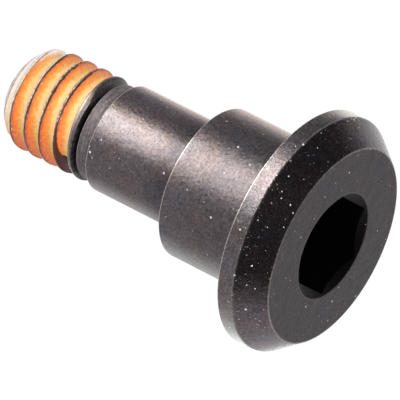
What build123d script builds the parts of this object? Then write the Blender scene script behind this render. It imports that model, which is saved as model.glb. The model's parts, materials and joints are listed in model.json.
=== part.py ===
from build123d import *
import math
import os

# A stepped shoulder bolt, turned from one bar of steel and blackened.
# A bevelled head with a hexagon socket stands over two plain shoulders, a short neck and an M6 thread.
# A coloured locking coat lies in the thread groove and leaves the crests bare.
#
# Millimetres. The axis is Z: the thread's flat end stands on Z = 0 and the head is on top.
# Two corners of the hexagon socket lie on Y.

os.makedirs("parts", exist_ok=True)

# Head
head_dia = 13.5
head_face_dia = 11.2
head_bevel_height = 1.5
head_rim_height = 1.0

# Two bearing shoulders, the large one under the head
large_shoulder_dia = 8.6
large_shoulder_length = 5.8
small_shoulder_dia = 6.1
small_shoulder_length = 5.9

# Neck under the small shoulder, and the undercut that the thread tool runs into
neck_dia = 5.5
neck_length = 0.85
neck_corner_bevel = 0.15
undercut_dia = 4.5
undercut_width = 0.25

# Sharp outer corners are broken with a small bevel
edge_break = 0.08

# Thread: metric, 60 degree flanks, coarse pitch
thread_crest_dia = 5.85
thread_pitch = 1.0
thread_length = 5.2
thread_depth = 0.61
thread_crest_flat = 0.125
thread_flank_angle = 30.0
thread_end_dia = 4.1
thread_start_angle = -69.0

# The ridge is made longer than the thread and sunk into its core, and then trimmed
thread_overrun = 0.6
ridge_sink = 0.1

# Hexagon socket: broached over a drilled hole, with a countersunk mouth
socket_across_flats = 5.05
socket_depth = 3.0
socket_mouth_dia = 6.1
socket_mouth_half_angle = 60.0
drill_point_half_angle = 59.0

# Locking coat: how far it stands proud of the crests and above the groove's root, how close it lies
# to the steel, and how far up the thread it reaches
coat_proud = 0.075
coat_root_thickness = 0.2
coat_bond_gap = 0.01
coat_top = 4.56

# Heights along the axis, from the thread's end to the face of the head
undercut_z = thread_length
neck_z = undercut_z + undercut_width
small_shoulder_z = neck_z + neck_length
large_shoulder_z = small_shoulder_z + small_shoulder_length
head_z = large_shoulder_z + large_shoulder_length
bevel_z = head_z + head_rim_height
face_z = bevel_z + head_bevel_height

flank_slope = math.tan(math.radians(thread_flank_angle))
crest_r = thread_crest_dia / 2
root_r = crest_r - thread_depth


def turned_blank():
    """The plain turned form above the thread: half its section, spun about the axis."""
    with BuildPart() as blank:
        with BuildSketch(Plane.XZ):
            with BuildLine():
                Polyline(
                    (0, undercut_z),
                    (undercut_dia / 2, undercut_z),
                    (undercut_dia / 2, neck_z),
                    (neck_dia / 2, neck_z),
                    (neck_dia / 2, small_shoulder_z - neck_corner_bevel),
                    (neck_dia / 2 + neck_corner_bevel, small_shoulder_z),
                    (small_shoulder_dia / 2 - edge_break, small_shoulder_z),
                    (small_shoulder_dia / 2, small_shoulder_z + edge_break),
                    (small_shoulder_dia / 2, large_shoulder_z),
                    (large_shoulder_dia / 2 - edge_break, large_shoulder_z),
                    (large_shoulder_dia / 2, large_shoulder_z + edge_break),
                    (large_shoulder_dia / 2, head_z),
                    (head_dia / 2 - edge_break, head_z),
                    (head_dia / 2, head_z + edge_break),
                    (head_dia / 2, bevel_z),
                    (head_face_dia / 2, face_z),
                    (0, face_z),
                    (0, undercut_z),
                )
            make_face()
        revolve(axis=Axis.Z)
    return blank.part


def hexagon_socket():
    """What the drill and the countersink take out of the head, and the broached hexagon over it."""
    broach_z = face_z - socket_depth
    drill_r = socket_across_flats / 2
    mouth_r = socket_mouth_dia / 2
    drill_tip_z = broach_z - drill_r / math.tan(math.radians(drill_point_half_angle))
    mouth_z = face_z - (mouth_r - drill_r) / math.tan(math.radians(socket_mouth_half_angle))
    with BuildPart() as socket:
        with BuildSketch(Plane.XZ):
            Polygon(
                (0, drill_tip_z),
                (drill_r, broach_z),
                (drill_r, mouth_z),
                (mouth_r, face_z),
                (0, face_z),
                align=None,
            )
        revolve(axis=Axis.Z)
        with BuildSketch(Plane.XY.offset(broach_z)):
            RegularPolygon(drill_r, 6, major_radius=False, rotation=30)
        extrude(amount=socket_depth)
    return socket.part


def along_the_thread(section, start_angle, low_z, high_z):
    """
    Carry a closed section along a right-hand helix with the thread's pitch.

    Each point of the section is (distance along the axis from its middle, radius).
    The middle meets Z = 0 at the start angle, measured about Z from X.
    """
    path = Helix(thread_pitch, high_z - low_z, crest_r)
    corners = [(radius, 0, along) for along, radius in section]
    swept = sweep(make_face(Polyline(corners, close=True)), path=path, is_frenet=True)
    return Pos(0, 0, low_z) * Rot(0, 0, start_angle + 360 * low_z / thread_pitch) * swept


def ridge_half_width(radius):
    """Half the ridge's width at a radius: its flanks spread inwards from the crest flat."""
    return thread_crest_flat / 2 + (crest_r - radius) * flank_slope


def groove_half_width(radius):
    """Half the groove's width at a radius: what the ridge leaves of the pitch."""
    return thread_pitch / 2 - ridge_half_width(radius)


def bevelled_envelope(tip_r, side_r):
    """A bar as long as the thread, with a 45 degree bevel at its end."""
    bar = Cylinder(side_r, thread_length, align=(Align.CENTER, Align.CENTER, Align.MIN))
    return chamfer(bar.edges().sort_by(Axis.Z)[0], side_r - tip_r)


def thread_end():
    """The threaded end: a core with a helical ridge on it, trimmed to length and bevelled at its end."""
    sunk_r = root_r - ridge_sink
    half_base = ridge_half_width(sunk_r)
    half_crest = ridge_half_width(crest_r)
    section = [(-half_base, sunk_r), (-half_crest, crest_r), (half_crest, crest_r), (half_base, sunk_r)]
    ridge = along_the_thread(section, thread_start_angle, -thread_overrun, thread_length + thread_overrun)
    core_length = thread_length + 4 * thread_overrun
    core = Cylinder(root_r, core_length, align=(Align.CENTER, Align.CENTER, Align.MIN))
    core = Pos(0, 0, -2 * thread_overrun) * core
    return (core + ridge) & bevelled_envelope(thread_end_dia / 2, crest_r + ridge_sink)


def locking_coat():
    """The coat: one strip that fills the groove's flanks and root, hollow in the middle and proud of the crests."""
    lean = math.cos(math.radians(thread_flank_angle))
    inner_r = root_r + coat_bond_gap
    proud_r = crest_r + coat_proud
    half_inner = groove_half_width(inner_r) - coat_bond_gap / lean
    half_edge = groove_half_width(proud_r) - coat_bond_gap / lean
    section = [
        (half_inner, inner_r),
        (half_edge, proud_r),
        (0, root_r + coat_root_thickness),
        (-half_edge, proud_r),
        (-half_inner, inner_r),
    ]
    strip = along_the_thread(section, thread_start_angle + 180, -thread_overrun, coat_top)
    return strip & bevelled_envelope(thread_end_dia / 2 + coat_proud, proud_r + ridge_sink)


bolt = turned_blank() - hexagon_socket() + thread_end()
thread_coat = locking_coat()

export_step(bolt, "parts/bolt.step")
export_step(thread_coat, "parts/thread_coat.step")

print("bolt", round(bolt.volume, 3), "mm3, height", round(bolt.bounding_box().size.Z, 3))
print("thread_coat", round(thread_coat.volume, 3), "mm3, solids", len(thread_coat.solids()))
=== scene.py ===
# %% [markdown]
# # A blackened shoulder bolt with a coated thread
#
# The real thing is one piece of turned steel: a round head with a wide bevel and a hexagon
# socket, two plain shoulders, a short neck, and a thread. The steel is black oxide over fine
# turning marks. A locking coat of orange resin lies in the thread groove, and the crests have
# worn through it.
#
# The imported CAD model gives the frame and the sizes. Two new surfaces stand for its two nodes,
# with the rounded edges, the true helix and the ragged coat that a close view shows.
# Lengths are in millimetres, and the helper that makes a mesh turns them into metres.

# %% Load the frame
import json
import math
import bmesh
import bpy
import numpy as np
from mathutils import Matrix, Vector


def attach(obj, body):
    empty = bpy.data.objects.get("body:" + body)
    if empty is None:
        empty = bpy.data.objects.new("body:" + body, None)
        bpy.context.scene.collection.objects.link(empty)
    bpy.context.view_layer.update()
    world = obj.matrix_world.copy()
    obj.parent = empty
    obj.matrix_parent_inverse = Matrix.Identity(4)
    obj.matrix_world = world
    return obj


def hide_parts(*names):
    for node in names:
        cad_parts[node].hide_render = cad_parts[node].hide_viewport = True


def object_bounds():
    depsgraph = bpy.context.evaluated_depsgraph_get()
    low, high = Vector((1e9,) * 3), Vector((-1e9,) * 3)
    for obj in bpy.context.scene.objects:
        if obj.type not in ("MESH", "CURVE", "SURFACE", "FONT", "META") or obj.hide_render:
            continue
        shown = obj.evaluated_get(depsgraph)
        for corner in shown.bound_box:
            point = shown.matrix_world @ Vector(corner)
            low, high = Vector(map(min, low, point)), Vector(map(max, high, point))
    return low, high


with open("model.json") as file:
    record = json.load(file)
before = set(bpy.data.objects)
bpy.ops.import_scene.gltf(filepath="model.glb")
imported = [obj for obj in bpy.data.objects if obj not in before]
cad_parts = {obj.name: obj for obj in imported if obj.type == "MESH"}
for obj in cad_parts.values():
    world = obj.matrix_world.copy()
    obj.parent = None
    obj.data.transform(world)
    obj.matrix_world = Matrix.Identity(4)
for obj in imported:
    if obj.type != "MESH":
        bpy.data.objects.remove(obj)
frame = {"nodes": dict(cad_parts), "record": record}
cad_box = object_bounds()
MM = 0.001
mounts = {mount["name"]: mount for mount in frame["record"]["mounts"]}
print("nodes", sorted(frame["nodes"]), "box", [tuple(corner) for corner in cad_box])


# %% [markdown]
# ## Sizes
#
# The shoulders, the two seats and the overall size come from the frame, so they can't drift
# from the CAD model. What the frame doesn't name is written here once, as on a turner's drawing.

# %% Read what the frame knows
def mount_height(name):
    """Height of a mount's point above the thread's end."""
    return mounts[name]["pos_m"][2] / MM


def mount_radius(name):
    """Radius of a round mount."""
    return mounts[name]["dims"]["r_mm"]


large_r = mount_radius("large_shoulder")
small_r = mount_radius("small_shoulder")
head_z = mount_height("head_underside")
step_z = mount_height("shoulder_step")
face_z = mount_height("key_socket")
head_r = cad_box[1].y / MM
print("shoulders", large_r, small_r, "seats at", head_z, step_z, "head", head_r, "face at", face_z)

# %% Sizes of the thread
pitch = 1.0
thread_length = 5.2
crest_r = 2.925
thread_depth = 0.61
crest_flat = 0.125
flank_slope = math.tan(math.radians(30))
thread_end_r = 2.05
thread_start = math.radians(-69)
root_r = crest_r - thread_depth

# %% Sizes of the turned form
rim_height = 1.0
bevel_z = head_z + rim_height
face_r = 5.6
small_end_z = 6.3
neck_r = 2.75
undercut_r = 2.25
undercut_width = 0.25
neck_z = thread_length + undercut_width

# %% Sizes of the socket
socket_half_flats = 2.525
socket_depth = 3.0
mouth_r = 3.05
mouth_slope = math.tan(math.radians(60))
drill_slope = math.tan(math.radians(59))
print("thread root", root_r, "neck at", neck_z, "bevel at", bevel_z, "socket floor", face_z - socket_depth)


# %% [markdown]
# ## From a grid of numbers to a mesh
#
# A mesh can be pushed into shape by hand, or worked out. A turned part is exact, so this one is
# worked out. Every surface is a grid: one direction runs along a profile, the other round the
# axis or along the thread. A helper turns the grid into a mesh, joins the points that fall
# together, such as the seam and the poles, marks the creases, and counts the edges left open.

# %% Grid to mesh
join_distance = 2e-7


def grid_faces(rows, columns, closed_rows):
    """Four-cornered faces of a grid. Each runs one step along the row, then one step to the next row."""
    index = np.arange(rows * columns).reshape(rows, columns)
    if closed_rows:
        index = np.vstack([index, index[:1]])
    corners = (index[:-1, :-1], index[:-1, 1:], index[1:, 1:], index[1:, :-1])
    return np.stack([corner.ravel() for corner in corners], axis=1)


def link(name, data):
    """A new object that shows this data, at the origin."""
    piece = bpy.data.objects.new(name, data)
    bpy.context.scene.collection.objects.link(piece)
    return piece


def grid_object(name, x, y, z, attributes, crease_deg=180, closed_rows=False):
    """A mesh object from three arrays of coordinates, with a number of each attribute at every point."""
    mesh = bpy.data.meshes.new(name)
    points = np.stack([x, y, z], axis=-1).reshape(-1, 3) * MM
    mesh.from_pydata(points, [], grid_faces(*x.shape, closed_rows))
    for key, values in attributes.items():
        layer = mesh.attributes.new(key, "FLOAT", "POINT")
        layer.data.foreach_set("value", np.broadcast_to(values, x.shape).astype(np.float32).ravel())
    joined = bmesh.new()
    joined.from_mesh(mesh)
    bmesh.ops.remove_doubles(joined, verts=joined.verts, dist=join_distance)
    bmesh.ops.dissolve_degenerate(joined, edges=joined.edges, dist=join_distance)
    open_edges = sum(edge.is_boundary for edge in joined.edges)
    joined.to_mesh(mesh)
    joined.free()
    mesh.shade_smooth()
    mesh.set_sharp_from_angle(angle=math.radians(crease_deg))
    triangles = sum(len(face.vertices) - 2 for face in mesh.polygons)
    print(name, len(mesh.vertices), "points", triangles, "triangles", open_edges, "open edges")
    return link(name, mesh)


# %% [markdown]
# ## Rounded changes
#
# Nothing on a real bolt changes at a knife edge. These small formulas are used all through:
# the larger or the smaller of two numbers with a rounded change between them, an eased step,
# and the distance to the nearest of many evenly spaced marks.

# %% Small formulas
def soft_max(a, b, blend):
    """The larger of two numbers: half of their sum plus their difference, rounded over the blend."""
    return (a + b + np.sqrt((a - b) ** 2 + blend ** 2)) / 2


def soft_min(a, b, blend):
    """The smaller of two numbers: half of their sum less their difference, rounded over the blend."""
    return (a + b - np.sqrt((a - b) ** 2 + blend ** 2)) / 2


def ease(low, high, value):
    """0 below low, 1 above high, and between them three squares less two cubes of the part done."""
    part = np.clip((value - low) / (high - low), 0, 1)
    return part * part * (3 - 2 * part)


def past_nearest(value, spacing):
    """How far a number lies past the nearest multiple of the spacing, from minus half of it to half."""
    return (value + spacing / 2) % spacing - spacing / 2


print("halfway on the eased step", ease(0, 1, 0.5), "past the nearest whole number", past_nearest(2.75, 1))


# %% [markdown]
# ## The thread
#
# A metric thread is a ridge that climbs one pitch in each turn. A profile could be carried along
# a helix, but its ends would then need trimming. Here the radius is a function of the place: it
# depends only on how far that place is, along the axis, from the middle of the nearest crest.
# So the worn end and the run-out, where the last crest widens before the undercut, are part of
# the same formula.

# %% The thread's form
crest_rounding = 0.02
root_rounding = 0.06
end_rounding = 0.01
end_wear = 0.22
run_out_z = 4.86
run_out_blend = 0.06
run_out_width = 0.28


def crest_height(angle):
    """Height of the crest that meets zero height at the start angle: one pitch for each turn."""
    return pitch * (angle - thread_start) / (2 * np.pi)


def end_envelope(height):
    """Largest radius near the thread's end: a 45 degree bevel that wear has rounded into the crests."""
    return soft_min(crest_r, thread_end_r + height, end_wear)


def run_out(height):
    """0 on the working thread and 1 where it runs out: an eased step at the run-out's height."""
    return ease(run_out_z - run_out_blend, run_out_z + run_out_blend, height)


def thread_radius(height, angle):
    """
    Radius of the bare thread.

    The distance to the nearest crest is folded into half a pitch. The surface falls from the
    crest along the flank, as deep as the thread at most. The last crest grows wider towards the
    undercut, where the thread runs out. The envelope of the worn end cuts the surface back.
    """
    past_crest = past_nearest(height - crest_height(angle), pitch)
    widened = run_out_width * run_out(height - past_crest)
    from_crest = np.where(past_crest > 0, np.maximum(past_crest - widened, 0), -past_crest)
    fall = soft_max((from_crest - crest_flat / 2) / flank_slope, 0, crest_rounding)
    fall = soft_min(fall, thread_depth, root_rounding)
    return soft_min(crest_r - fall, end_envelope(height), end_rounding)


# %% [markdown]
# ## Rows of the thread
#
# Level rows would cut the crests into steps. These rows climb with the helix, so that crests and
# roots are smooth lines, and they lie closest where the profile bends. What climbs past either
# end of the thread is held there, where the points fall together and are joined.

# %% Rows that climb
columns = 241
angle = np.linspace(0, 2 * np.pi, columns)
row_spots = np.array([
    0, 0.03, 0.05, 0.0625, 0.075, 0.1, 0.13, 0.16, 0.2,
    0.24, 0.28, 0.32, 0.36, 0.39, 0.415, 0.44, 0.47,
])
one_pitch = np.concatenate([-row_spots[:0:-1], row_spots, [pitch / 2]])
spare_turns = 2
turns = np.arange(-spare_turns, math.ceil(thread_length / pitch) + spare_turns)
row_height = (turns[:, None] * pitch + one_pitch[None, :]).ravel()
thread_z = np.clip(row_height[:, None] + crest_height(angle)[None, :], 0, thread_length)
thread_r = thread_radius(thread_z, angle[None, :])
print("thread rows", thread_r.shape[0], "radius", thread_r.min(), "to", thread_r.max())


# %% [markdown]
# ## The turned form above the thread
#
# A turner's drawing is a list of corners, and the socket can be drawn the same way: its hexagon
# is a radius that depends on the angle. No real corner is perfectly sharp, so each is replaced by
# a small curve. A Bevel modifier could do that, but here each corner has a curve of its own, and
# it carries how the finish looks there: how far the edge has worn bright, how much dust lies
# near it, how much grey film covers it, and how bright the skin is painted before and after it.
# That painted sheen is partly the gloss of the finish, which also sets its roughness, and partly
# painted highlight and painted shade.

# %% The hexagon and its countersunk mouth
hexagon_r = socket_half_flats / np.cos(past_nearest(angle, np.pi / 3))
hexagon_top = face_z - (mouth_r - hexagon_r) / mouth_slope
broach_z = face_z - socket_depth
drill_z = broach_z - socket_half_flats / drill_slope
print("socket corners", hexagon_r.max(), "drilled to", drill_z)

# %% Corners, from the end of the thread to the bottom of the socket
# Near the step the small shoulder is painted darker, as painted shade under the step, and the large shoulder
# above it keeps a painted highlight that fades towards the head.
painted_shade_from_z, painted_shade_full_z = step_z - 2.4, step_z - 1.1
painted_highlight_to_z = step_z + 1.6
corners = [
    # radius, height, reach of the curve, wear, dust, film, gloss and painted sheen before and after it
    (thread_r[-1], thread_length, 0, 0, 0, 0, 0.5, 0.5),
    (undercut_r, thread_length, 0.03, 0, 0, 0, 0.4, 0.4),
    (undercut_r, neck_z, 0.03, 0, 0, 0.1, 0.4, 0.6),
    (neck_r, neck_z, 0.05, 1.0, 0.05, 0.85, 1, 1),
    (neck_r, small_end_z, 0.14, 0, 0.05, 0.8, 1, 1),
    (small_r, small_end_z, 0.1, 0.9, 0.07, 0.1, 0.9, 1),
    (small_r, painted_shade_from_z, 0.03, 0, 0.06, 0.1, 1, 1),
    (small_r, painted_shade_full_z, 0.03, 0, 0.06, 0.1, 0.65, 0.65),
    (small_r, step_z, 0.06, 0, 0.02, 0.15, 0.65, 0.7),
    (large_r, step_z, 0.09, 0.9, 0.07, 0.1, 0.9, 1.05),
    (large_r, painted_highlight_to_z, 0.03, 0, 0.07, 0.1, 0.9, 0.9),
    (large_r, head_z, 0.08, 0, 0.09, 0.1, 0.8, 0.75),
    (head_r, head_z, 0.09, 1.0, 0.15, 0.05, 1, 1.05),
    (head_r, bevel_z, 0.1, 0.15, 0.38, 0, 1.05, 1.0),
    (face_r, face_z, 0.07, 0.4, 0.1, 0, 1.0, 0.35),
    # From the mouth down, the socket's skin is painted darker: painted shade in the recess.
    (mouth_r, face_z, 0.05, 0.15, 0.03, 0, 0.35, 0.1),
    (hexagon_r, hexagon_top, 0.03, 0, 0, 0, 0.1, 0.2),
    (hexagon_r, broach_z, 0.03, 0, 0, 0, 0.2, 0.2),
    (socket_half_flats, broach_z, 0.03, 0, 0, 0, 0.2, 0.2),
    (0, drill_z, 0, 0, 0, 0, 0.2, 0.2),
]
curve_steps = 5
hold = 1.5
print("corners", len(corners))


# %% Round the corners
def rounded_rows(corners):
    """
    Rows along a profile with its corners rounded: radius, height, wear, dust, film, and the gloss and painted
    sheen.

    Each corner gives points on a parabola from a spot on the line towards the corner before it,
    past the corner, to a spot on the line towards the next: the two spots and the corner,
    weighted by the squares of what is left and what is done, and twice their product. The spots
    are never further away than a third of the line. One more row on each side, one and a half
    reaches from the corner, holds the flat beside it flat. Wear is highest in the middle of the
    curve, four times the product of what is left and what is done, and nothing at its ends.
    """
    table = np.stack([np.stack(np.broadcast_arrays(*corner, angle)[:-1]) for corner in corners])
    here = table[1:-1, :2]
    back = table[:-2, :2] - here
    ahead = table[2:, :2] - here
    reach, wear, dust_film = table[1:-1, 2], table[1:-1, 3], table[1:-1, 4:6]
    gloss_and_painted_sheen_before, gloss_and_painted_sheen_after = table[1:-1, 6][:, None], table[1:-1, 7][:, None]
    long_back = np.maximum(np.linalg.norm(back, axis=1), 1e-6)
    long_ahead = np.maximum(np.linalg.norm(ahead, axis=1), 1e-6)
    pull = np.minimum(reach, np.minimum(long_back, long_ahead) / 3)
    back = (back * (pull / long_back)[:, None])[:, None]
    ahead = (ahead * (pull / long_ahead)[:, None])[:, None]
    here = here[:, None]
    done = np.linspace(0, 1, curve_steps)[None, :, None, None]
    curve = (1 - done) ** 2 * (here + back) + 2 * done * (1 - done) * here + done ** 2 * (here + ahead)
    place = np.concatenate([here + back * hold, curve, here + ahead * hold], axis=1).reshape(-1, 2, columns)
    middle = np.pad((4 * done * (1 - done))[:, :, 0], ((0, 0), (1, 1), (0, 0)))
    worn = (wear[:, None] * middle).reshape(-1, columns)
    dust, film = np.repeat(dust_film, curve_steps + 2, axis=0).transpose(1, 0, 2)
    passed = np.linspace(0, 1, curve_steps + 2)[None, :, None]
    gloss_and_painted_sheen = (gloss_and_painted_sheen_before * (1 - passed) + gloss_and_painted_sheen_after * passed).reshape(-1, columns)
    return place[:, 0], place[:, 1], worn, dust, film, gloss_and_painted_sheen


form_r, form_z, form_worn, form_dust, form_film, form_gloss_and_painted_sheen = rounded_rows(corners)
print("rows above the thread", form_r.shape[0])


# %% [markdown]
# ## How the thread has worn, and the shade painted on it
#
# The finish on the thread, and the painted sheen on it, follow its form too, so they are stored
# on the points of the mesh as plain numbers that the material reads later. The crests are rubbed.
# The last turns are bare and painted darker, darkest on the side away from the light: painted
# shade. A grey film covers the run-out, and below it the bare groove is stained a rusty brown.

# %% Marks on the thread
bare_from_z, bare_to_z = 4.3, 4.6
stain_to_z, stain_from_z = 4.55, 4.2
rubbed_width = 0.06
coated_wear, bare_wear = 0.05, 0.4
# How bright the thread's skin is painted, coated and bare. The bare turns are painted darker away from the lens
# side, which faces the light: painted shade.
coated_gloss_and_painted_sheen, bare_gloss_and_painted_sheen, lit_side_painted_sheen = 0.9, 0.35, 0.55
lit_side_deg, lit_side_width = 270, 50
run_out_film = 0.4

bare_thread = np.clip((thread_z - bare_from_z) / (bare_to_z - bare_from_z), 0, 1)
on_crest = np.exp(-((past_nearest(row_height, pitch) / rubbed_width) ** 2))
lit_side = np.exp(-(((np.degrees(angle) - lit_side_deg) / lit_side_width) ** 2))[None, :]
thread_worn = on_crest[:, None] * (coated_wear + (bare_wear - coated_wear) * bare_thread)
lost_gloss_and_painted_sheen = coated_gloss_and_painted_sheen - bare_gloss_and_painted_sheen - (lit_side_painted_sheen - bare_gloss_and_painted_sheen) * lit_side
thread_gloss_and_painted_sheen = coated_gloss_and_painted_sheen - bare_thread * lost_gloss_and_painted_sheen
thread_film = run_out_film * run_out(thread_z)
thread_stain = np.clip((stain_to_z - thread_z) / (stain_to_z - stain_from_z), 0, 1)
print("most wear on the thread", thread_worn.max(), "gloss_and_painted_sheen", thread_gloss_and_painted_sheen.min(), "to", thread_gloss_and_painted_sheen.max())

# %% One surface from the middle of the thread's end to the bottom of the socket
end_shares = np.array([0, 0.7, 0.95, 0.99])[:, None]
socket_gloss_and_painted_sheen = corners[-1][-1]
end_r = end_shares * thread_end_r * np.ones(columns)
end_none = 0 * end_r
bottom_none = np.zeros((1, columns))
all_r = np.vstack([end_r, thread_r, form_r, bottom_none])
all_z = np.vstack([end_none, thread_z, form_z, bottom_none + drill_z])
marks = {
    "worn": np.vstack([end_none, thread_worn, form_worn, bottom_none]),
    "dust": np.vstack([end_none, 0 * thread_r, form_dust, bottom_none]),
    "film": np.vstack([end_none, thread_film, form_film, bottom_none]),
    "gloss_and_painted_sheen": np.vstack([end_none + coated_gloss_and_painted_sheen, thread_gloss_and_painted_sheen, form_gloss_and_painted_sheen, bottom_none + socket_gloss_and_painted_sheen]),
    "stain": np.vstack([end_none, thread_stain, 0 * form_r, bottom_none]),
}
bolt = grid_object("turned_bolt", all_r * np.cos(angle), all_r * np.sin(angle), all_z, marks, crease_deg=35)
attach(bolt, "root")
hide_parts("bolt")


# %% [markdown]
# ## The locking coat
#
# The coat was brushed on as a thick liquid. It pooled in the groove, climbed both flanks and
# broke over the crests, where nuts and fingers have rubbed it away. A coloured band on the steel
# would look painted, so the coat is a surface of its own: one long strip that follows the helix.
# Its edges wander, and so does its thickness. Random numbers come from fixed seeds, so that
# every run gives the same coat.

# %% A line that wanders
def wander(along, cell, seed):
    """A smooth random line between -1 and 1: random heights one cell apart, joined by eased steps."""
    heights = np.random.default_rng(seed).uniform(-1, 1, 4096)
    place = (along - along.min()) / cell
    left = place.astype(int)
    eased = (place - left) ** 2 * (3 - 2 * (place - left))
    return heights[left] * (1 - eased) + heights[left + 1] * eased


def ragged(along, layers):
    """Wandering lines on top of each other, each given by its share, its cell and its seed."""
    return sum(share * wander(along, cell, seed) for share, cell, seed in layers)


# %% The strip's path
coat_start_z = -0.7
coat_top_z = 4.63
samples_per_turn = 400
samples = int((coat_top_z - coat_start_z) / pitch * samples_per_turn)
groove_z = np.linspace(coat_start_z, coat_top_z, samples)
groove_angle = thread_start + np.pi + groove_z / pitch * 2 * np.pi
left_to_end = coat_top_z - groove_z
print("strip of", samples, "samples,", (coat_top_z - coat_start_z) / pitch, "turns")

# %% [markdown]
# ## The coat's two edges
#
# Each edge is a distance from the middle of the groove. Along most of the thread it runs beside
# the crest, ragged, and climbs over it where the photographed side is worn least. The last turn
# was brushed on a slant, so both edges are drawn there as lines through a few measured spots.
# On the worn tip there is less crest to stop the coat, so it spreads to the bare metal's rim.

# %% Lower and upper edge
end_run = [0, 0.01, 0.02, 0.03, 0.05, 0.07, 0.1, 0.142, 0.2]
lower_run = [0.44, 0.16, -0.08, -0.24, -0.31, -0.34, -0.38, -0.43, -0.458]
upper_run = [0.44, 0.44, 0.43, 0.42, 0.41, 0.40, 0.39, 0.39, 0.38]
last_turn_run, last_turn_edge = [0.7, 0.9], [0.36, 0.464]
raggedness = 0.035
crest_cover = 0.055
bearing_deg = past_nearest(np.degrees(groove_angle), 360)
over_crest = crest_cover * (ease(-165, -140, bearing_deg) - ease(-88, -58, bearing_deg))

lower_edge = np.interp(left_to_end, end_run, lower_run)
lower_edge = lower_edge + raggedness * ragged(groove_z, [(0.3, 0.11, 3), (0.4, 0.025, 10), (0.3, 0.007, 12)])
lower_edge = lower_edge + over_crest * ease(0.1, 0.25, left_to_end)
upper_edge = np.interp(left_to_end, end_run + last_turn_run, upper_run + last_turn_edge)
upper_edge = upper_edge + raggedness * ragged(groove_z, [(0.3, 0.11, 4), (0.4, 0.025, 11), (0.3, 0.007, 13)])
upper_edge = upper_edge + over_crest * ease(0.8, 1.0, left_to_end)
print("edges from", lower_edge.min(), "to", upper_edge.max())

# %% Spread over the worn crests at the tip
widest_spread = 0.12
spread_at_tip, spread_slope = 0.543, 0.366
tip_widening = 0.03
bare_height, bare_unevenness = 0.08, 0.04
crest_beside = groove_z[None, :] + [[0], [1]]
lower_spread, upper_spread = np.clip(spread_at_tip - spread_slope * crest_beside, 0, widest_spread)
lower_edge = lower_edge + lower_spread * ease(0.7, 1.0, groove_z) - tip_widening * (1 - ease(1.3, 1.6, groove_z))
upper_edge = upper_edge + upper_spread + tip_widening * (1 - ease(0.3, 0.6, groove_z))
bare_tip = bare_height + bare_unevenness * wander(groove_z, 0.03, 21)
lower_edge = np.maximum(lower_edge, bare_tip - groove_z)
print("spread over the crests", lower_spread.max(), "bare tip up to", bare_tip.max())

# %% The strip runs out to a point at both ends
narrowest = 0.03
last_taper = 0.004
strip_width = np.maximum(upper_edge - lower_edge, 0) * ease(0, last_taper, left_to_end)
first = np.flatnonzero(strip_width[: samples // 2] < narrowest)[-1]
strip_width[: first + 1] = 0
print("the strip starts at sample", first, "and is", strip_width.max(), "wide at most")

# %% [markdown]
# ## The coat's section
#
# Across the strip, the outside is a hollow curve like a liquid's surface: deepest in the middle
# of the groove, and higher with the square of the distance from it. It is never thinner than a
# film over the steel, and its lip is rounded. Brush lumps lie on it, slanted as the brush went.
# The inside lies a hair under the steel's surface, so no gap shows.

# %% Outside and inside
coat_film = 0.06
thinnest_share = 0.6
pool = 0.21
bite = 0.012
outermost_r = 3.0
brush_slant = 0.03
feathered_end, feathered_strip = 0.03, 0.05
across_steps = 19
across = np.sin(np.linspace(-np.pi / 2, np.pi / 2, across_steps))[:, None]
offset = ((lower_edge + upper_edge) / 2)[None, :] + across * strip_width[None, :] / 2
outside_z = groove_z[None, :] + offset
steel_r = thread_radius(outside_z, groove_angle[None, :])

pool_r = root_r + pool
rim_r = crest_r + coat_film
hollow = pool_r + (rim_r - root_r - pool) * np.abs(2 * offset / pitch) ** 2
slanted = groove_z[None, :] + brush_slant * across
lumps = ragged(slanted, [(0.02, 0.06, 11), (0.015, 0.02, 12), (0.008, 0.008, 13)])
skin_r = np.minimum(hollow + lumps, end_envelope(outside_z) + coat_film)

lip = (1 - np.abs(across) ** 6) ** 0.5
thinning = (ease(0, feathered_end, left_to_end) * ease(0, feathered_strip, strip_width))[None, :]
thickness = (soft_max(skin_r, steel_r + thinnest_share * coat_film, 0.04) - steel_r) * lip * thinning
outside_r = np.minimum(steel_r + thickness, outermost_r)
inside_r = steel_r - bite * thinning
print("coat up to", thickness.max(), "thick")

# %% Close the strip and build it
coat_r = np.vstack([outside_r, inside_r[::-1]])[:, first:]
coat_z = np.vstack([outside_z, outside_z[::-1]])[:, first:]
coat_across = np.vstack([offset, offset[::-1]])[:, first:] / (pitch / 2)
coat_angle = groove_angle[first:]
coat = grid_object(
    "orange_coat",
    coat_r * np.cos(coat_angle),
    coat_r * np.sin(coat_angle),
    coat_z,
    {"across": coat_across, "along": groove_z[first:]},
    crease_deg=50,
    closed_rows=True,
)
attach(coat, "root")
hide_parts("thread_coat")


# %% [markdown]
# ## Building materials
#
# A material is a small program made of nodes. It could be wired by hand in the editor, or drawn
# as an image. Nodes stay sharp at any distance and follow the form, so they are used here, and
# these helpers keep each step to one line: add makes a node and connects or sets its inputs, and
# the rest name the steps used most.

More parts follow.
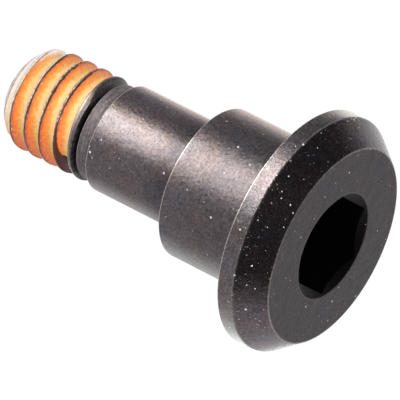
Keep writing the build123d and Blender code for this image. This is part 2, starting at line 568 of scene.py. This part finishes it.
# %% Node helpers
class Finish:
    """A new material with short calls for adding nodes."""

    def __init__(self, name):
        self.material = bpy.data.materials.new(name)
        self.material.use_nodes = True
        self.tree = self.material.node_tree
        self.tree.nodes.clear()

    def plug(self, socket, value):
        """Connects another socket to this one, or sets a plain value on it."""
        if isinstance(value, bpy.types.NodeSocket):
            self.tree.links.new(value, socket)
        else:
            socket.default_value = value

    def add(self, kind, inputs=None, **settings):
        """A node of that kind. An input is a socket to connect or a plain value to set."""
        node = self.tree.nodes.new(kind)
        for key, value in settings.items():
            setattr(node, key, value)
        for key, value in (inputs or {}).items():
            self.plug(node.inputs[key], value)
        return node

    def math(self, operation, a, b=0.0, c=0.0):
        """One sum on numbers."""
        return self.add("ShaderNodeMath", {0: a, 1: b, 2: c}, operation=operation).outputs[0]

    def times(self, a, *others):
        """A product of numbers."""
        for b in others:
            a = self.math("MULTIPLY", a, b)
        return a

    def highest(self, a, *others):
        """The highest of some numbers."""
        for b in others:
            a = self.math("MAXIMUM", a, b)
        return a

    def step(self, value, low, high, to_low=0.0, to_high=1.0):
        """An eased step from one number to another while the value goes from low to high."""
        inputs = {"Value": value, "From Min": low, "From Max": high, "To Min": to_low, "To Max": to_high}
        return self.add("ShaderNodeMapRange", inputs, interpolation_type="SMOOTHSTEP").outputs[0]

    def mix(self, factor, a, b):
        """A blend of two colours. The colour inputs of this node are its seventh and eighth."""
        return self.add("ShaderNodeMix", {0: factor, 6: a, 7: b}, data_type="RGBA").outputs[2]

    def mix_shaders(self, factor, a, b):
        """A blend of two shaders."""
        return self.add("ShaderNodeMixShader", {0: factor, 1: a.outputs[0], 2: b.outputs[0]}).outputs[0]

    def vector_math(self, operation, a, b=(0, 0, 0), result="Vector"):
        """One sum on vectors."""
        return self.add("ShaderNodeVectorMath", {0: a, 1: b}, operation=operation).outputs[result]

    def scaled(self, vector, factor):
        """A vector or colour times a number."""
        return self.add("ShaderNodeVectorMath", {0: vector, "Scale": factor}, operation="SCALE").outputs[0]

    def separate(self, vector):
        """The three numbers of a vector."""
        return self.add("ShaderNodeSeparateXYZ", {0: vector}).outputs

    def combine(self, x, y, z=0.0):
        """A vector of three numbers."""
        return self.add("ShaderNodeCombineXYZ", {0: x, 1: y, 2: z}).outputs[0]

    def millimetres(self):
        """The place on the object, in millimetres."""
        return self.scaled(self.add("ShaderNodeTexCoord").outputs["Object"], 1 / MM)

    def attribute(self, name):
        """A number stored on the mesh."""
        return self.add("ShaderNodeAttribute", attribute_name=name).outputs["Fac"]

    def noise(self, vector, scale, detail=2.0, roughness=0.5, w=None):
        """Cloudy noise between 0 and 1."""
        inputs = {"Vector": vector, "Scale": scale, "Detail": detail, "Roughness": roughness}
        if w is not None:
            inputs["W"] = w
        return self.add("ShaderNodeTexNoise", inputs, noise_dimensions="3D" if w is None else "4D").outputs["Fac"]

    def bump(self, strength, distance, height):
        """Shading as if the surface rose by a part of that distance, in metres."""
        inputs = {"Strength": strength, "Distance": distance, "Height": height}
        return self.add("ShaderNodeBump", inputs).outputs[0]

    def finish(self, shader):
        """Connects the last shader to the surface."""
        self.add("ShaderNodeOutputMaterial", {"Surface": shader})
        return self.material


def colour(red, green, blue):
    """A colour in scene light, with full cover."""
    return (red, green, blue, 1.0)


# %% [markdown]
# ## Blackened steel
#
# Black oxide is a thin dark skin on bright steel. It is satin and slightly warm, and it keeps
# the turning marks of the tool: rings round the axis on the sides and on the face alike. So the
# marks are noise that changes fast with height and radius and slowly round the axis. Finer and
# coarser noise on top gives the grit and the patches of the skin.

# %% Patterns on the steel
steel = Finish("blackened_steel")
steel_spot = steel.millimetres()
steel_x, steel_y, steel_z = steel.separate(steel_spot)
flat_spot = steel.combine(steel_x, steel_y)
off_axis = steel.vector_math("LENGTH", flat_spot, result="Value")
round_x, round_y, _ = steel.separate(steel.vector_math("NORMALIZE", flat_spot))
rings_per_mm, round_scale = 14.0, 2.5
ring_spot = steel.combine(
    steel.times(off_axis, rings_per_mm), steel.times(steel_z, rings_per_mm), steel.times(round_x, round_scale)
)
rings = steel.noise(ring_spot, scale=1.0, detail=2.0, roughness=0.6, w=steel.times(round_y, round_scale))
grain = steel.noise(steel_spot, scale=15.0, detail=2.0, roughness=0.6)
grit = steel.noise(steel_spot, scale=6.5, detail=4.0, roughness=0.6)
patches = steel.noise(steel_spot, scale=1.5, detail=3.0, roughness=0.6)
clouds = steel.noise(steel_spot, scale=0.5, detail=2.0, roughness=0.5)

# %% Numbers stored on the steel
# The painted sheen scales the skin's colour: painted highlight above 1 and painted shade below 1. It also sets
# the roughness, the real gloss.
gloss_and_painted_sheen = steel.attribute("gloss_and_painted_sheen")
film = steel.attribute("film")
worn = steel.attribute("worn")
dust = steel.attribute("dust")
stained = steel.times(steel.attribute("stain"), 0.95)

# %% [markdown]
# ## Colour of the steel
#
# The skin drifts between two dark browns, warm and cool, and is mottled at three scales. It is
# painted lighter or darker by the painted sheen, as painted highlight and painted shade. Over
# it, in this order, lie the grey film of the neck, the rusty stain in the bare groove, and the
# bright metal of the rubbed edges.

# %% Colours of the skin
warm_black = colour(0.107, 0.082, 0.086)
cool_black = colour(0.093, 0.081, 0.094)
film_low = colour(0.078, 0.066, 0.072)
film_high = colour(0.165, 0.138, 0.144)
rusty_brown = colour(0.085, 0.019, 0.008)
bright_metal = colour(0.50, 0.44, 0.42)

# %% Skin, film, stain and rubbed edges
# Random mottling times the painted sheen, which paints highlight and shade into the colour.
shade = steel.times(
    steel.step(grit, 0.3, 0.7, 0.74, 1.26),
    steel.step(patches, 0.3, 0.7, 0.9, 1.1),
    steel.step(grain, 0.3, 0.7, 0.72, 1.28),
    gloss_and_painted_sheen,
)
skin = steel.scaled(steel.mix(steel.step(clouds, 0.3, 0.7), warm_black, cool_black), shade)
film_tint = steel.mix(steel.step(rings, 0.35, 0.65), film_low, film_high)
film_tint = steel.scaled(film_tint, steel.step(grit, 0.3, 0.7, 0.65, 1.35))
skin = steel.mix(steel.times(film, steel.step(grit, 0.25, 0.65, 0.6, 1.2)), skin, film_tint)
skin = steel.mix(stained, skin, rusty_brown)
rubbed = steel.times(worn, steel.step(grit, 0.25, 0.5))
skin = steel.mix(rubbed, skin, bright_metal)

# %% [markdown]
# ## Dust
#
# Pale dust has settled on the steel, most of it on the bevel. Loose cells are scattered over
# the surface, and some of them hold a speck: chance decides which, how large and how pale.
# The place is bent a little first, so that no speck is a perfect disc. The largest crumbs can't
# be left to chance, because the eye looks for them, so each has a place of its own.

# %% Specks by chance, first coarse and then fine
wobble = steel.add("ShaderNodeTexNoise", {"Vector": steel_spot, "Scale": 18.0, "Detail": 1.0}).outputs["Color"]
wobble_mm = 0.06
wobble = steel.vector_math("SUBTRACT", wobble, (0.5, 0.5, 0.5))
bent_spot = steel.vector_math("ADD", steel_spot, steel.scaled(wobble, wobble_mm))
likely = steel.times(dust, steel.step(patches, 0.35, 0.65, 0.25, 1.7))
speck_sizes = [
    # cells to the millimetre, smallest size, spread of sizes, faintest, brightest
    (5.0, 0.1, 0.22, 0.3, 1.0),
    (9.0, 0.1, 0.25, 0.1, 0.5),
]
on_speck = 0.0
for cells_per_mm, smallest, spread, faintest, brightest in speck_sizes:
    cells = steel.add("ShaderNodeTexVoronoi", {"Vector": bent_spot, "Scale": cells_per_mm})
    presence, largeness, paleness = steel.separate(cells.outputs["Color"])
    speck_size = steel.math("MULTIPLY_ADD", steel.math("POWER", largeness, 3.0), spread, smallest)
    inside = steel.math("LESS_THAN", cells.outputs["Distance"], speck_size)
    inside = steel.times(steel.math("LESS_THAN", presence, likely), inside)
    strength = steel.math("MULTIPLY_ADD", steel.math("POWER", paleness, 2.0), brightest - faintest, faintest)
    on_speck = steel.highest(on_speck, steel.times(inside, strength))

# %% Larger crumbs of dust, each in its place
crumb_places = [
    # x, y, z and radius
    (1.38, -2.72, 6.51, 0.075),
    (1.12, -2.84, 6.38, 0.04),
    (0.54, -3.00, 6.94, 0.05),
    (1.65, -2.56, 7.93, 0.04),
    (1.56, -4.01, 15.37, 0.07),
    (-2.37, -3.59, 14.70, 0.07),
    (-3.32, -2.73, 12.96, 0.045),
    (-1.81, -3.90, 15.97, 0.07),
    (-1.52, -4.02, 16.37, 0.05),
    (-0.89, -5.82, 20.13, 0.05),
    (-0.98, -6.17, 19.65, 0.04),
    (2.83, -5.60, 19.62, 0.06),
    (5.00, -3.86, 19.56, 0.07),
    (3.82, -4.69, 19.92, 0.045),
    (0.29, -5.73, 20.32, 0.04),
    (0.69, -6.17, 19.71, 0.035),
    (3.48, 0.34, 20.50, 0.045),
    (0.37, -3.82, 20.50, 0.04),
    (-2.08, -3.45, 20.50, 0.04),
]
for *place, size in crumb_places:
    gap = steel.vector_math("DISTANCE", bent_spot, place, result="Value")
    on_speck = steel.highest(on_speck, steel.step(gap, 0.6 * size, size, 1.0, 0.0))
pale_dust = colour(0.75, 0.72, 0.70)
skin = steel.mix(on_speck, skin, pale_dust)
print("placed crumbs", len(crumb_places))

# %% [markdown]
# ## Gloss and relief of the steel
#
# The oxide skin is so thin that it still shines like metal, tinted dark. Film, stain and dust
# are not metal, and they are dull, so they lower the metal and raise the roughness where they
# lie. Grit, patches and turning rings also rise a few hundredths of a millimetre in the bump.

# %% Gloss, relief and shader of the steel
roughness = steel.highest(
    steel.math("ADD", steel.math("MULTIPLY_ADD", grit, 0.2, 0.15), steel.times(film, 0.4)),
    steel.math("SUBTRACT", 0.7, gloss_and_painted_sheen),
    steel.times(on_speck, 0.8),
    steel.times(stained, 0.85),
)
metal = steel.times(steel.math("MULTIPLY_ADD", film, -0.65, 0.95), steel.math("SUBTRACT", 1.0, stained))
metal = steel.times(steel.highest(metal, rubbed), steel.math("SUBTRACT", 1.0, on_speck))
steel_relief = steel.math("ADD", grit, steel.math("MULTIPLY_ADD", rings, 0.3, steel.times(patches, 1.6)))
steel_shader = steel.add("ShaderNodeBsdfPrincipled", {
    "Base Color": skin,
    "Metallic": metal,
    "Specular IOR Level": 0.2,
    "Roughness": roughness,
    "Normal": steel.bump(strength=0.7, distance=2e-5, height=steel_relief),
})
bolt.data.materials.append(steel.finish(steel_shader.outputs[0]))
print("steel nodes", len(steel.tree.nodes))

# %% [markdown]
# ## Orange resin
#
# Dried locking resin is satin. Across the groove its colour runs from a burnt orange beside the
# worn crest, through orange and yellow, to cream where it is thin over the next crest's flank.
# The yellow and cream are partly a painted highlight, where that flank faces the light. A colour
# ramp does that, read by the place across the strip. Noise shifts the place, so that the bands of
# colour wander as wet resin does, and a shift along x makes the bands deeper orange on the side
# in less light: painted shade.

# %% Place across the strip
resin = Finish("locking_coat")
resin_spot = resin.millimetres()
resin_x, _, resin_z = resin.separate(resin_spot)
from_side = resin.attribute("across")
mottle = resin.noise(resin_spot, scale=5.0, detail=4.0, roughness=0.7)
fleck = resin.noise(resin_spot, scale=13.0, detail=3.0, roughness=0.7)
shifted = resin.math("ADD", from_side, resin.math("MULTIPLY_ADD", mottle, 0.9, -0.2))
shifted = resin.math("ADD", shifted, resin.math("MULTIPLY_ADD", fleck, 0.6, -0.3))
# Towards +x the bands shift to deeper orange: painted shade on the side in less light.
shifted = resin.math("ADD", shifted, resin.step(resin_x, 0.0, 2.8, 0.0, -0.2))

# %% Colour across the strip
# The yellow and cream stops are partly a painted highlight on the flank that faces the light.
stops = [
    (0.02, (0.34, 0.045, 0.02)),
    (0.10, (0.66, 0.095, 0.022)),
    (0.25, (0.75, 0.17, 0.028)),
    (0.37, (0.79, 0.28, 0.045)),
    (0.48, (0.84, 0.45, 0.115)),
    (0.58, (0.93, 0.63, 0.25)),
    (0.71, (0.98, 0.76, 0.42)),
    (0.90, (0.98, 0.81, 0.58)),
]
ramp = resin.add("ShaderNodeValToRGB", {0: resin.math("MULTIPLY_ADD", shifted, 0.5, 0.5)})
marks_on_ramp = ramp.color_ramp.elements
marks_on_ramp[0].position = stops[0][0]
marks_on_ramp[1].position = stops[-1][0]
for position, _ in stops[1:-1]:
    marks_on_ramp.new(position)
for mark, (_, tint) in zip(marks_on_ramp, stops):
    mark.color = colour(*tint)
resin_colour_and_painted_light = ramp.outputs[0]
print("colours on the ramp", [round(mark.position, 2) for mark in marks_on_ramp])

# %% [markdown]
# ## Wear of the resin, and painted light on its end
#
# On the bevelled end the resin is painted pale and pinkish: painted light, where the end stands
# in the shade of the table. A grey streak runs there where it was scraped. Dirt clings to its
# edges in dark flecks, and crumbs of dry resin lie beside the crests. Each is one more colour,
# laid over the last by a mask.

# %% Painted light on the end, streak, scuffs and crumbs
painted_light_pink = colour(0.97, 0.86, 0.78)
grey_streak = colour(0.30, 0.23, 0.21)
edge_dirt = colour(0.20, 0.04, 0.016)
dry_crumb = colour(0.95, 0.60, 0.48)
tip_spot = resin.math("MULTIPLY_ADD", resin_x, 0.12, resin_z)
# The pale pink on the end is painted light: the end stands in the table's shade.
painted_light_at_tip = resin.step(resin.math("MULTIPLY_ADD", mottle, 0.6, tip_spot), 0.85, 1.2, 1.0, 0.0)
resin_colour_and_painted_light = resin.mix(painted_light_at_tip, resin_colour_and_painted_light, painted_light_pink)
from_streak = resin.math("ADD", resin.math("MULTIPLY_ADD", mottle, 0.25, -0.45), resin_z)
streak = resin.step(resin.math("ABSOLUTE", from_streak), 0.05, 0.14, 1.0, 0.0)
resin_colour_and_painted_light = resin.mix(resin.times(streak, resin.step(fleck, 0.35, 0.5)), resin_colour_and_painted_light, grey_streak)
near_edge = resin.highest(resin.step(from_side, -0.95, -0.6, 1.0, 0.0), resin.step(from_side, 0.74, 0.94))
near_edge = resin.times(near_edge, resin.step(resin.attribute("along"), 1.2, 1.7, 0.5, 1.0))
resin_colour_and_painted_light = resin.mix(resin.times(near_edge, resin.step(fleck, 0.38, 0.54)), resin_colour_and_painted_light, edge_dirt)
crumb_noise = resin.noise(resin_spot, scale=9.0, detail=3.0, roughness=0.7)
by_crest = resin.step(from_side, -0.85, -0.3, 1.0, 0.0)
resin_colour_and_painted_light = resin.mix(resin.times(by_crest, resin.step(crumb_noise, 0.58, 0.7)), resin_colour_and_painted_light, dry_crumb)

# %% Gloss, relief and shader of the resin
resin_relief = resin.math("ADD", fleck, resin.times(mottle, 1.5))
resin_shader = resin.add("ShaderNodeBsdfPrincipled", {
    "Base Color": resin_colour_and_painted_light,
    "Roughness": resin.math("MULTIPLY_ADD", fleck, 0.3, 0.3),
    "Normal": resin.bump(strength=0.8, distance=2.5e-5, height=resin_relief),
})
coat.data.materials.append(resin.finish(resin_shader.outputs[0]))
print("resin nodes", len(resin.tree.nodes))

# %% [markdown]
# ## Camera
#
# The photograph was taken from far away with a long lens. The camera could be moved by eye until
# the outlines meet. Here its viewpoint is given as a surveyor would: the angle between the line
# of sight and the bolt's axis, how far the axis leans in the picture, the scale in picture
# points to the millimetre, and the place on which the picture is centred.

# %% Camera values
photo_size = 400
sight_to_axis = math.radians(62.362)
axis_lean = math.radians(26.933)
points_per_mm = 18.902
closeness = 1.26e-4
aim = Vector((1.004, 0.302, 12.077))

# %% Set the camera
sight = Vector((0, -math.sin(sight_to_axis), math.cos(sight_to_axis)))
axis_in_picture = Vector((0, math.cos(sight_to_axis), math.sin(sight_to_axis)))
across_axis = Vector((-1, 0, 0))
right = math.cos(axis_lean) * axis_in_picture + math.sin(axis_lean) * across_axis
up = math.cos(axis_lean) * across_axis - math.sin(axis_lean) * axis_in_picture
distance = 1 / (closeness * points_per_mm)
camera_data = bpy.data.cameras.new("camera")
camera = link("camera", camera_data)
turned = Matrix((right, up, sight)).transposed().to_4x4()
turned.translation = (aim + sight * distance) * MM
camera.matrix_world = turned
camera_data.lens = camera_data.sensor_width / (photo_size * closeness)
camera_data.clip_start = 0.01
camera_data.clip_end = 50
bpy.context.scene.camera = camera
print("camera", distance, "mm away, lens", camera_data.lens)

# %% [markdown]
# ## Floor
#
# The bolt stands on a plain white light table. A strong lamp could burn the floor white, and
# would burn the bolt too. So the paper glows by itself, as a light table does: at full strength
# to the camera and to anything that mirrors it, and half to the rest, and it still takes a soft
# shadow.

# %% White paper
floor_reach = 4.0
floor_corners = [(x * floor_reach, y * floor_reach, 0) for x, y in ((-1, -1), (1, -1), (1, 1), (-1, 1))]
floor_mesh = bpy.data.meshes.new("floor")
floor_mesh.from_pydata(floor_corners, [], [(0, 1, 2, 3)])
floor = link("floor", floor_mesh)
paper = Finish("white_paper")
rays = paper.add("ShaderNodeLightPath").outputs
seen = paper.highest(rays["Is Camera Ray"], rays["Is Glossy Ray"], rays["Is Transmission Ray"])
half_glow, full_glow = 0.5, 0.9
matte = paper.add("ShaderNodeBsdfDiffuse", {"Color": colour(0.9, 0.9, 0.9)})
paper_glow = paper.add("ShaderNodeEmission", {"Color": colour(1, 1, 1), "Strength": 1.06})
glow_share = paper.math("MULTIPLY_ADD", seen, full_glow - half_glow, half_glow)
floor_mesh.materials.append(paper.finish(paper.mix_shaders(glow_share, matte, paper_glow)))
print("floor", 2 * floor_reach, "m wide")

# %% [markdown]
# ## What the metal mirrors
#
# Dark metal shows its surroundings more than its own colour. Each shoulder is a round mirror that
# gathers the table on all sides into bands along its length: a wide bright one near the middle
# and a softer glow towards each outline. Lamps of many sizes could make them. One ring flat on
# the table, whose brightness and tint change with the bearing and the reach, makes them all and
# stays easy to adjust. The camera doesn't see it.

# %% Brightness of the ring
ring_reach = [15, 30, 44]
ring_glow = np.array([
    # bearing, brightness at the three reaches, green and blue beside red
    (-180, 0.5, 0.45, 0.3, 1.0, 1.06),
    (-150, 0.6, 0.6, 0.5, 1.0, 1.04),
    (-144, 1.0, 0.9, 0.8, 1.0, 0.9),
    (-138, 2.7, 2.3, 3.0, 1.0, 0.88),
    (-131, 8.5, 5.4, 9.0, 1.02, 0.9),
    (-124, 10.8, 6.9, 10.2, 1.03, 0.93),
    (-114, 10.8, 6.5, 10.2, 1.03, 0.93),
    (-105, 9.6, 6.3, 10.2, 1.03, 0.93),
    (-96, 7.4, 5.2, 8.8, 1.02, 0.93),
    (-89, 5.8, 3.8, 5.0, 1.01, 0.93),
    (-82, 3.0, 1.6, 0.8, 1.0, 0.93),
    (-76, 1.6, 1.0, 0.7, 0.99, 0.94),
    (-66, 0.95, 0.95, 0.7, 0.98, 0.95),
    (-54, 0.95, 1.0, 0.85, 0.98, 0.95),
    (-18, 0.9, 0.95, 1.05, 0.98, 0.95),
    (6, 0.85, 0.9, 1.2, 0.98, 0.96),
    (18, 1.0, 1.1, 1.7, 0.99, 0.98),
    (30, 1.4, 1.5, 2.3, 1.0, 1.0),
    (42, 1.3, 1.4, 2.3, 1.0, 1.0),
    (54, 1.1, 1.3, 2.8, 1.0, 1.0),
    (66, 0.8, 0.9, 2.8, 1.0, 1.0),
    (78, 0.3, 0.45, 2.0, 0.99, 0.97),
    (90, 0.7, 0.75, 0.7, 0.95, 0.9),
    (102, 1.65, 1.7, 1.1, 0.89, 0.82),
    (114, 2.05, 2.05, 2.0, 0.87, 0.8),
    (126, 2.0, 1.95, 2.6, 0.87, 0.8),
    (138, 1.9, 1.9, 2.4, 0.88, 0.82),
    (150, 1.15, 1.1, 0.5, 0.92, 0.88),
    (162, 0.65, 0.5, 0.3, 0.97, 1.0),
    (180, 0.5, 0.45, 0.3, 1.0, 1.06),
])
ring_bearing = np.linspace(-180, 180, 181)
reach_rows = np.linspace(62, 8, 28)
near_glow, mid_glow, far_glow, green, blue = (
    np.interp(ring_bearing, ring_glow[:, 0], ring_glow[:, column])[None, :] for column in range(1, 6)
)
inner_part = 1 - ease(ring_reach[0], ring_reach[1], reach_rows)[:, None]
outer_part = ease(ring_reach[1], ring_reach[2], reach_rows)[:, None]
brightness = inner_part * near_glow + (1 - inner_part - outer_part) * mid_glow + outer_part * far_glow
print("ring brightness", brightness.min(), "to", brightness.max())

# %% Cooler far out
far_coolness = 0.8
far_green, far_blue = 1.1, 1.02
cooler = far_coolness * outer_part
green = green + (far_green - green) * cooler
blue = blue + (far_blue - blue) * cooler

# %% Glowing ring on the table, seen in the metal alone
ring_lift = 0.4
ring_angle = np.radians(ring_bearing)[None, :]
ring = grid_object(
    "glowing_ring",
    reach_rows[:, None] * np.cos(ring_angle),
    reach_rows[:, None] * np.sin(ring_angle),
    0 * brightness + ring_lift,
    {"red": brightness, "green": brightness * green, "blue": brightness * blue},
)
ring.visible_camera = False
ring.visible_diffuse = False
ring.visible_shadow = False
shine = Finish("glowing_ring")
glow_colour = shine.combine(*(shine.attribute(key) for key in ("red", "green", "blue")))
lit = shine.add("ShaderNodeEmission", {"Color": glow_colour, "Strength": 1.0})
clear = shine.add("ShaderNodeBsdfTransparent")
facing_down = shine.add("ShaderNodeNewGeometry").outputs["Backfacing"]
ring.data.materials.append(shine.finish(shine.mix_shaders(facing_down, lit, clear)))

# %% [markdown]
# ## The room
#
# The room is white all round. Only above and in front, where the camera is, does the steel
# mirror something dark, and that is what blackens the bevel and the face. So a dark cloth hangs
# there: a part of a large sphere round the bolt, whose own faint light grows up to the white of
# the room towards its edge, so that no edge shows in the metal.

# %% Dark cloth above and in front, growing paler towards its edge
cloth_reach = 3500
cloth_dark, room_white = 0.05, 1.05
cloth_edge, darkest_from = 0.62, -0.05
open_way = Vector((0.35, 0.93, -0.1)).normalized()
side_way = open_way.cross(Vector((0, 0, 1))).normalized()
lift_way = side_way.cross(open_way)
facing = np.linspace(cloth_edge, -1, 34)[:, None]
turn = np.linspace(0, 2 * np.pi, 49)[None, :]
spread = np.sqrt(np.maximum(1 - facing ** 2, 0))
cloth_x, cloth_y, cloth_z = (
    cloth_reach * (facing * ahead + spread * (np.cos(turn) * aside + np.sin(turn) * aloft))
    for ahead, aside, aloft in zip(open_way, side_way, lift_way)
)
cloth_glow = cloth_dark + (room_white - cloth_dark) * ease(darkest_from, cloth_edge, facing)
cloth = grid_object("dark_cloth", cloth_x, cloth_y, cloth_z, {"glow": cloth_glow})
cloth.visible_camera = False
weave = Finish("dark_cloth")
cloth_light = weave.add("ShaderNodeEmission", {"Color": colour(1, 1, 1), "Strength": weave.attribute("glow")})
cloth.data.materials.append(weave.finish(cloth_light.outputs[0]))

# %% World: white all round
world = bpy.data.worlds.new("studio")
bpy.context.scene.world = world
world.use_nodes = True
room = world.node_tree.nodes["Background"]
room.inputs["Color"].default_value = colour(1, 1, 1)
room.inputs["Strength"].default_value = room_white

# %% [markdown]
# ## Soft box
#
# A matte thing such as the resin needs light from the viewer's side. A soft box does that in a
# studio: a wide lamp, so shadows stay soft. It hangs beside the camera. The steel doesn't mirror
# it, because the photograph shows no such patch of light on the face.

# %% Soft box beside the camera
box_distance = 0.3
box_width = 0.3
box_radiance = 5.4
box_data = bpy.data.lights.new("soft_box", "AREA")
box_data.shape = "DISK"
box_data.size = box_width
box_data.energy = box_radiance * math.pi * math.pi * box_width ** 2 / 4
soft_box = link("soft_box", box_data)
box_way = Vector((-0.1, -0.7, 0.75)).normalized()
soft_box.location = box_way * box_distance
soft_box.rotation_mode = "QUATERNION"
soft_box.rotation_quaternion = box_way.to_track_quat("Z", "Y")
soft_box.visible_camera = False
soft_box.visible_glossy = False
print("soft box", box_data.energy, "W")

# %% [markdown]
#
# The Standard view shows each colour about as it is written.

bpy.context.scene.view_settings.view_transform = "Standard"
